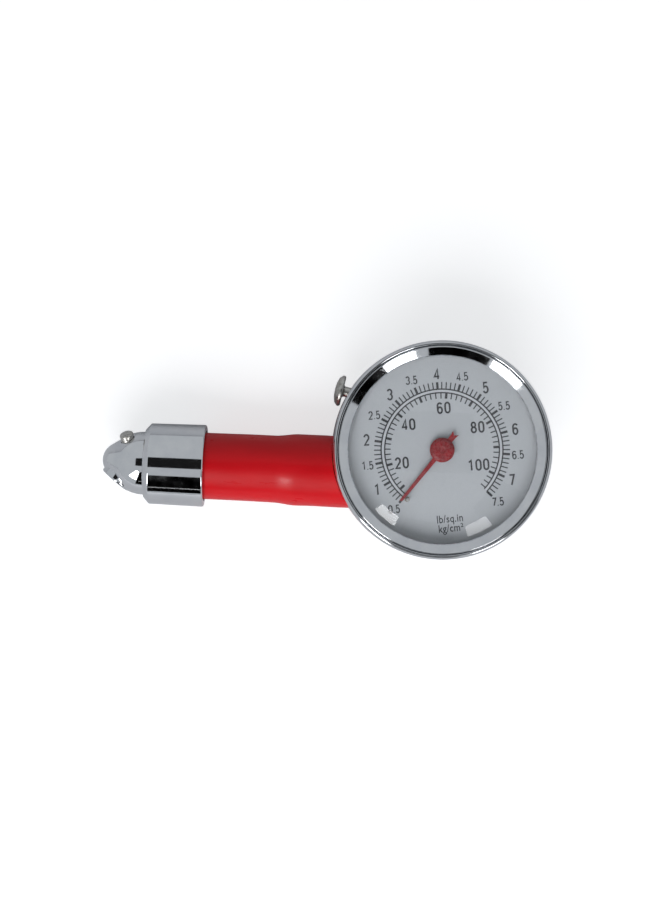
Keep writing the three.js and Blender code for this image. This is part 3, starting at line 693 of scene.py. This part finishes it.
def dial_print():
    """Everything printed in black: two ring lines, the ticks, the numbers and the units."""
    low, high = DIAL_TOP + 0.002, DIAL_TOP + PRINT
    first, last = bearing(SCALE_FROM), bearing(SCALE_TO)
    parts = [scale_ticks()]
    for radius in (RING_OUT, RING_IN):
        edges = radius - RING_LINE / 2, radius + RING_LINE / 2
        parts.append(arc_band("line", *edges, first, last, low, high + 0.005))
    value = SCALE_FROM
    while value <= SCALE_TO:
        whole = value == int(value)
        text = str(int(value)) if whole else str(value)
        height, weight = (3.0, 0.44) if whole else (2.2, 0.32)
        at = on_dial(bearing(value), OUTER_NUMBERS)
        parts.append(number(text, height, weight, at, TYPE_TURN, low, high))
        value += 0.5
    for psi in (20, 40, 60, 80, 100):
        at = on_dial(bearing(psi / PSI) + INNER_LEAN, INNER_NUMBERS if psi < 100 else WIDE_NUMBER)
        parts.append(number(str(psi), 3.0, 0.46, at, TYPE_TURN, low, high))
    for text, radius in (("lb/sq.in", 17.6), ("kg/cm²", 20.0)):
        at = on_dial(UNITS_AT, radius)
        parts.append(fixed_text(text, 2.0 * CAP, at, UNITS_TURN, low, high))
    return merge("dial_print", parts)


def dial_face():
    """The dial's plate, with holes for the pointer's staff and the rest pin."""
    plate = turned("dial_face", rounded(
        [(1, DIAL_LOW), (DIAL_R, DIAL_LOW, 0.1), (DIAL_R, DIAL_TOP, 0.12), (1, DIAL_TOP, 0.08)], 3))
    at = Matrix.Translation((STOP_PIN.x, STOP_PIN.y, DIAL_LOW))
    return combine(plate, [turned("cut", [(0, -2), (0.6, -2), (0.6, 3), (0, 3)], at, 32)])


def dial_band():
    """The pale band between the two rings."""
    ends = bearing(SCALE_FROM), bearing(SCALE_TO)
    return arc_band("dial_band", RING_IN, RING_OUT, *ends, DIAL_TOP + 0.001, DIAL_TOP + 0.015)


def rest_pin():
    """The short pin that the pointer rests against."""
    radius, top = 0.45, DIAL_TOP + 2
    profile = rounded([(0, DIAL_LOW - 0.2), (radius, DIAL_LOW - 0.2), (radius, top, 0.2), (0, top)])
    return turned("rest_pin", profile, Matrix.Translation((STOP_PIN.x, STOP_PIN.y, 0)), PLAIN)


def hand():
    """The pointer: a tapering blade, a fishtail and a hub with a soft edge."""
    place = Matrix.Rotation(POINTER_REST, 4, "Z")
    low, high = POINTER_LOW + 0.2, POINTER_LOW + 0.6
    outline = [(-5.55, -0.95), (-4.6, -0.72), (-2, -0.68), (2, -0.58), (16.8, -0.38), (16.35, 0.38),
               (2, 0.58), (-2, 0.68), (-4.6, 0.72), (-5.55, 0.95), (-4.75, 0)]
    blade = extruded("pointer_blade", outline, low, high, place, 0.06)
    hub_r = 3.15
    top = max(POINTER_HIGH, size("pinion_arbor")[1].z) + 0.35
    hub = turned("pointer_hub", rounded([
        (0, POINTER_LOW), (hub_r, POINTER_LOW, 0.1), (hub_r, POINTER_HIGH - 0.3, 0.3),
        (hub_r - 0.75, top - 0.12, 0.9), (0.95, top, 0.4), (0.6, top - 0.15, 0.15), (0, top - 0.2)], 6),
        sides=MEDIUM)
    return combine(blade, [hub], "UNION")


show(case_body(), "case", "body", "case_shell")
show(bezel(), "chrome", "body", "bezel_ring")
show(window(), "crystal", "body", "crystal_lens")
show(dial_face(), "dial", "body", "dial_plate")
show(dial_print(), "dial", "body", material=BLACK_INK)
show(dial_band(), "dial", "body", material=PALE_INK)
show(hand(), "pointer", "pointer", "pointer")
show(rest_pin(), "nickel", "body", "stop_pin")

# ---- Handle ----

# Heights along the handle count from the dial's axis.
SLEEVE_FROM = 18
STEP_FROM, STEP_TO = 37, 43  # where the sleeve narrows
THIN_R = SLEEVE_R - 0.55
SLEEVE_WALL = 0.55
ROOM = 0.07  # that the sleeve's unevenness may fill


def sleeve_shape(point):
    """Small unevenness of the stretched sleeve: long waves round it and along it."""
    angle = math.atan2(point.y, point.x)
    wave = 0.05 * math.sin(2 * angle + 0.13 * point.z) + 0.04 * math.sin(3 * angle - 0.31 * point.z + 1)
    wave += 0.045 * math.sin(0.42 * point.z + 0.7) * math.cos(angle - 0.6)
    radius = math.hypot(point.x, point.y)
    grow = (radius + min(wave, 0.06)) / radius
    return Vector((point.x * grow, point.y * grow, point.z))


def sleeve():
    """The red sleeve, swollen over the wider adapter, with its end notched under the bezel."""
    outer, inner = [], []
    steps = 90
    for i in range(steps + 1):
        z = SLEEVE_FROM + (SLEEVE_END - SLEEVE_FROM) * i / steps
        share = min(1, max(0, (z - STEP_FROM) / (STEP_TO - STEP_FROM)))
        soft = share * share * (3 - 2 * share)
        radius = SLEEVE_R - ROOM - (SLEEVE_R - THIN_R) * soft
        outer.append((radius, z))
        inner.append((radius - SLEEVE_WALL, z))
    outer[-1] = (outer[-1][0] - 0.18, SLEEVE_END)
    body = turned("sleeve", outer + inner[::-1], HANDLE, 144, sleeve_shape)
    cuts = []
    for radius, low in ((CASE_R + 0.2, -5), (BEZEL_R + 0.04, BEZEL_LOW.z - 0.3)):
        cuts.append(turned("cut", [(0, low), (radius, low), (radius, 40), (0, 40)]))
    return combine(body, cuts)


def collar():
    """The coupling nut: soft rear edge, a front shoulder and a fine step at the nose."""
    bore, lip = 9.2, 8.45
    profile = rounded([
        (bore, COLLAR_FROM, 0.15), (COLLAR_R, COLLAR_FROM, 0.45), (COLLAR_R - 0.2, 75.3, 0.5),
        (9.1, 76.55, 0.2), (8.9, COLLAR_TO, 0.1), (lip, COLLAR_TO, 0.1), (lip, 74.6, 0.1),
        (bore, 74.3, 0.1)], 6)
    return turned("collar", profile, HANDLE, 224)


NOSE_R = 8.2
NOSE_FROM, SHOULDER = 71.9, 74  # the head's rear end and the step that the collar holds
SHOULDER_R = 8.9
DOME_FROM, DOME_TO = 77, 85.9
SPOUT_R = 4.6  # of the round end that carries the mouth
SPOUT_Y = 0.6  # of its middle, from the handle's axis
MOUTH_R = 3.95
RIM_R = 4.35
CHAMFER = 0.25
THREAD_DEPTH = 6.6  # of the wide part of the mouth
DEFLATOR_OUT = Vector((-0.256, 0.845, 0.469)).normalized()
PIN_FROM, PIN_TO = 5.6, 9.3  # of the deflator pin, along its axis
PIN_BASE = middle("deflator_pin") - DEFLATOR_OUT * (PIN_FROM + PIN_TO) / 2
DEFLATOR = aimed(PIN_BASE, DEFLATOR_OUT)


def enclose(obj):
    """Turns an object's mesh into the tight convex skin round its points."""
    work = bmesh.new()
    for vertex in obj.data.vertices:
        work.verts.new(vertex.co)
    bmesh.ops.remove_doubles(work, verts=work.verts, dist=TINY)
    bmesh.ops.convex_hull(work, input=work.verts)
    loose = [vertex for vertex in work.verts if not vertex.link_faces]
    bmesh.ops.delete(work, geom=loose, context="VERTS")
    bmesh.ops.recalc_face_normals(work, faces=work.faces)
    obj.data.clear_geometry()
    work.to_mesh(obj.data)
    work.free()


def nose():
    """The chuck head: a dome, and a round end with the valve mouth, bored through to the handle."""
    dome = arc(NOSE_R, DOME_TO - DOME_FROM, DOME_FROM, 0, math.pi / 2, 40)
    dome[-1] = (0, DOME_TO)
    stem = [(0, NOSE_FROM), (SHOULDER_R, NOSE_FROM), (SHOULDER_R, SHOULDER), (NOSE_R, SHOULDER)]
    body = turned("nose", [*stem, *dome], HANDLE)
    beyond = turned("cut", [(0, 0), (9, 0), (9, 9), (0, 9)], MOUTH, PLAIN)
    rim = turned("rim", rounded([(0, -6), (RIM_R, -6), (RIM_R, -0.02, 0.6), (0, -0.02)], 6), MOUTH, MEDIUM)
    spout_at = HANDLE @ Matrix.Translation((0, SPOUT_Y, NOSE_TIP - SPOUT_R))
    half = arc(SPOUT_R, SPOUT_R, 0, -math.pi / 2, math.pi / 2, 60)
    half[0], half[-1] = (0, -SPOUT_R), (0, SPOUT_R)
    spout = turned("spout", half, spout_at, 120)
    bore = turned("cut", rounded([
        (0, -9.6), (BORE_R, -9.6), (BORE_R, -THREAD_DEPTH), (MOUTH_R, -THREAD_DEPTH, 0.2),
        (MOUTH_R, -CHAMFER, 0.1), (MOUTH_R + CHAMFER, 0.02), (MOUTH_R + CHAMFER, 1), (0, 1)], 3),
        MOUTH, MEDIUM)
    through = turned("cut", [(0, 71), (2, 71), (2, 79.5), (0, 79.5)], HANDLE, PLAIN)
    pocket = turned("cut", [(0, 5.3), (1.95, 5.3), (1.95, 12), (0, 12)], DEFLATOR, PLAIN)
    combine(body, [beyond])
    taper = merge("taper", [spout, turned("dome", [(0, DOME_FROM), *dome], HANDLE)])
    enclose(taper)
    combine(body, [taper, rim], "UNION")
    return combine(body, [bore, through, pocket], sharp=14)


def deflator():
    """The short round-ended pin on the nose."""
    profile = rounded([
        (0, PIN_FROM), (1.8, PIN_FROM, 0.1), (1.8, PIN_TO - 0.1, 1.0), (0.9, PIN_TO, 0.3), (0, PIN_TO)], 6)
    return turned("deflator", profile, DEFLATOR, PLAIN)


def valve_washer():
    """The rubber seal inside the mouth."""
    hole, edge, back = 1.5, 3.75, -6.3
    profile = rounded([
        (hole, back, 0.1), (edge, back, 0.1), (edge, -SEAL_DEPTH, 0.25), (hole, -SEAL_DEPTH, 0.25)])
    return turned("valve_washer", profile, MOUTH, PLAIN)


show(sleeve(), "sleeve", "body", "handle_sleeve")
show(collar(), "chrome", "body", "chuck_collar")
show(nose(), "chrome", "body", "chuck_head")
show(deflator(), "nickel", "body", "deflator_pin")
show(valve_washer(), "rubber", "body", "valve_seal")

# ---- Release button ----


def mushroom():
    """The button's domed head on its stem, with the small shoulder that carries the seal."""
    neck, seal_r, stem, head = 0.85, 1.75, 1.35, 4.05
    profile = rounded([
        (0, -12.5), (neck, -12.5, 0.15), (neck, -10.1, 0.05), (seal_r, -10.1, 0.1), (seal_r, -9.5, 0.1),
        (neck, -9.5, 0.05), (neck, -8.55, 0.05), (stem, -8.55, 0.1), (stem, -0.6, 0.5),
        (head - 0.3, -0.6, 0.25), (head, -0.25, 0.15), (head, 0.2, 0.3),
        (3.2, 1.05, 0.8), (1.6, 1.5, 0.8), (0, 1.6)], 5)
    return turned("mushroom", profile, BUTTON, MEDIUM)


def bush():
    """The brass bush that guides the button's stem."""
    profile = rounded([(1.42, -8.4, 0.1), (1.9, -8.4, 0.1), (1.9, -3.1, 0.12), (1.42, -3.1, 0.12)])
    return turned("bush", profile, BUTTON, PLAIN)


show(mushroom(), "nickel", "button", "release_button")
show(bush(), "brass", "body", "button_bush")

# ---- CAD nodes that stay, with a finish for each slot ----


def springy(node):
    """Stands for a coil spring: a copy of its CAD node with its slot's finish, fixed to the body."""
    obj = placed("sprung_" + node, frame["nodes"][node].data.copy())
    show(obj, SLOTS[node], "body", node)
    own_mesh(obj)


def coiled_tube():
    """The pressure tube: a copy of its CAD node with its slot's finish."""
    obj = placed("pressure_tube", frame["nodes"]["bourdon_tube"].data.copy())
    slot = SLOTS["bourdon_tube"]
    paint(obj, MATERIALS[slot])
    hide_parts("bourdon_tube")
    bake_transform(obj)


for node, obj in frame["nodes"].items():
    paint(obj, MATERIALS[SLOTS[node]])
coiled_tube()
springy("button_spring")
springy("check_spring")

# ---- Studio ----


def card(name, centre, facing, widths, height, strength, seen_by):
    """A panel, of a width at its foot and one at its top, that only mirrored or only matt light sees.
    At strength 0 it is a dark card."""
    low_width, top_width = widths
    across = Vector((-facing.y, facing.x, 0))
    across = across.normalized() if across.length > TINY else Vector((1, 0, 0))
    rise = across.cross(facing) * height / 2
    rise = rise if rise.z >= 0 else -rise
    corners = [centre - across * low_width / 2 - rise, centre + across * low_width / 2 - rise,
               centre + across * top_width / 2 + rise, centre - across * top_width / 2 + rise]
    mesh = bpy.data.meshes.new(name)
    mesh.from_pydata(corners, [], [(0, 1, 2, 3)])
    obj = placed(name, mesh)
    material = bpy.data.materials.new(name)
    material.use_nodes = True
    tree = material.node_tree
    tree.nodes.clear()
    glow = tree.nodes.new("ShaderNodeEmission")
    glow.inputs["Strength"].default_value = strength
    output = tree.nodes.new("ShaderNodeOutputMaterial")
    tree.links.new(glow.outputs[0], output.inputs["Surface"])
    mesh.materials.append(material)
    obj.visible_camera = False
    obj.visible_shadow = False
    obj.visible_transmission = False
    obj.visible_diffuse = seen_by == "matt"
    obj.visible_glossy = seen_by == "glossy"


def panel(name, azimuth, zenith, distance, widths, height, strength, seen_by="glossy"):
    """A card that faces the gauge from a direction given in degrees."""
    a, t = math.radians(azimuth), math.radians(zenith)
    away = Vector((math.cos(a) * math.sin(t), math.sin(a) * math.sin(t), math.cos(t)))
    card(name, away * distance, -away, widths, height, strength, seen_by)


def studio():
    """Two softboxes with dark cards between, beside and above, a thin strip and a soft key light."""
    panel("softbox_left", 235, 51, 0.90, (0.34, 0.15), 0.50, 11.0)
    panel("softbox_right", 301, 52, 0.90, (0.29, 0.16), 0.46, 6.5)
    panel("light_strip", 268, 70, 0.94, (0.45, 0.45), 0.012, 1.4)
    panel("dark_middle", 266, 59, 1.00, (0.72, 0.40), 0.96, 0.0)
    panel("dark_right", 321, 57, 1.00, (0.58, 0.34), 1.00, 0.0)
    card("dark_above", Vector((-0.1, 0.07, 1.0)), Vector((0, 0, -1)), (0.8, 0.8), 0.50, 0.012, "glossy")
    panel("key_light", 262, 48, 0.90, (0.9, 0.9), 0.6, 3.6, "matt")


def camera_only(tree, socket, strength):
    """Sets a strength that only the camera sees."""
    path = tree.nodes.new("ShaderNodeLightPath")
    level = tree.nodes.new("ShaderNodeMath")
    level.operation = "MULTIPLY"
    level.inputs[1].default_value = strength
    tree.links.new(path.outputs["Is Camera Ray"], level.inputs[0])
    tree.links.new(level.outputs[0], socket)


def floor():
    """A pale matt floor, lifted to white for the camera only."""
    half, gap = 1.5, 0.4 * MM  # the gap keeps the floor and the case's back from sharing a plane
    mesh = bpy.data.meshes.new("floor")
    corners = [(-half, -half, 0), (half, -half, 0), (half, half, 0), (-half, half, 0)]
    mesh.from_pydata(corners, [], [(0, 1, 2, 3)])
    obj = placed("floor", mesh)
    obj.location.z = -gap
    material = bpy.data.materials.new("floor")
    material.use_nodes = True
    shader = material.node_tree.nodes["Principled BSDF"]
    shader.inputs["Base Color"].default_value = (0.66, 0.67, 0.69, 1)
    shader.inputs["Roughness"].default_value = 0.9
    shader.inputs["Emission Color"].default_value = (1, 1, 1, 1)
    camera_only(material.node_tree, shader.inputs["Emission Strength"], 0.62)
    mesh.materials.append(material)


def sky(soft, mirrored):
    """Even light all round, with a strength for matt surfaces and one for mirrors."""
    world = bpy.data.worlds.new("studio")
    bpy.context.scene.world = world
    world.use_nodes = True
    tree = world.node_tree
    background = tree.nodes["Background"]
    background.inputs["Color"].default_value = (0.93, 0.97, 1, 1)
    path = tree.nodes.new("ShaderNodeLightPath")
    level = tree.nodes.new("ShaderNodeMapRange")
    level.inputs["To Min"].default_value = soft
    level.inputs["To Max"].default_value = mirrored
    tree.links.new(path.outputs["Is Glossy Ray"], level.inputs["Value"])
    tree.links.new(level.outputs["Result"], background.inputs["Strength"])


def camera():
    """High above the gauge's middle, turned a little so that the handle rises slightly to the left."""
    place = Vector((-26, -2.0, 560))
    target = Vector((-28.6, -1.25, 22))
    roll = math.radians(2.5)
    data = bpy.data.cameras.new("camera")
    data.sensor_width = 36
    data.lens = 84.2
    data.clip_start = 0.01
    forward = (target - place).normalized()
    up = Matrix.Rotation(roll, 3, "Z") @ Vector((0, 1, 0))
    right = forward.cross(up).normalized()
    up = right.cross(forward)
    obj = placed("camera", data)
    obj.matrix_world = Matrix.Translation(place * MM) @ Matrix((right, up, -forward)).transposed().to_4x4()
    bpy.context.scene.camera = obj


studio()
floor()
sky(soft=0.33, mirrored=0.55)
camera()
bpy.context.scene.view_settings.view_transform = "Standard"
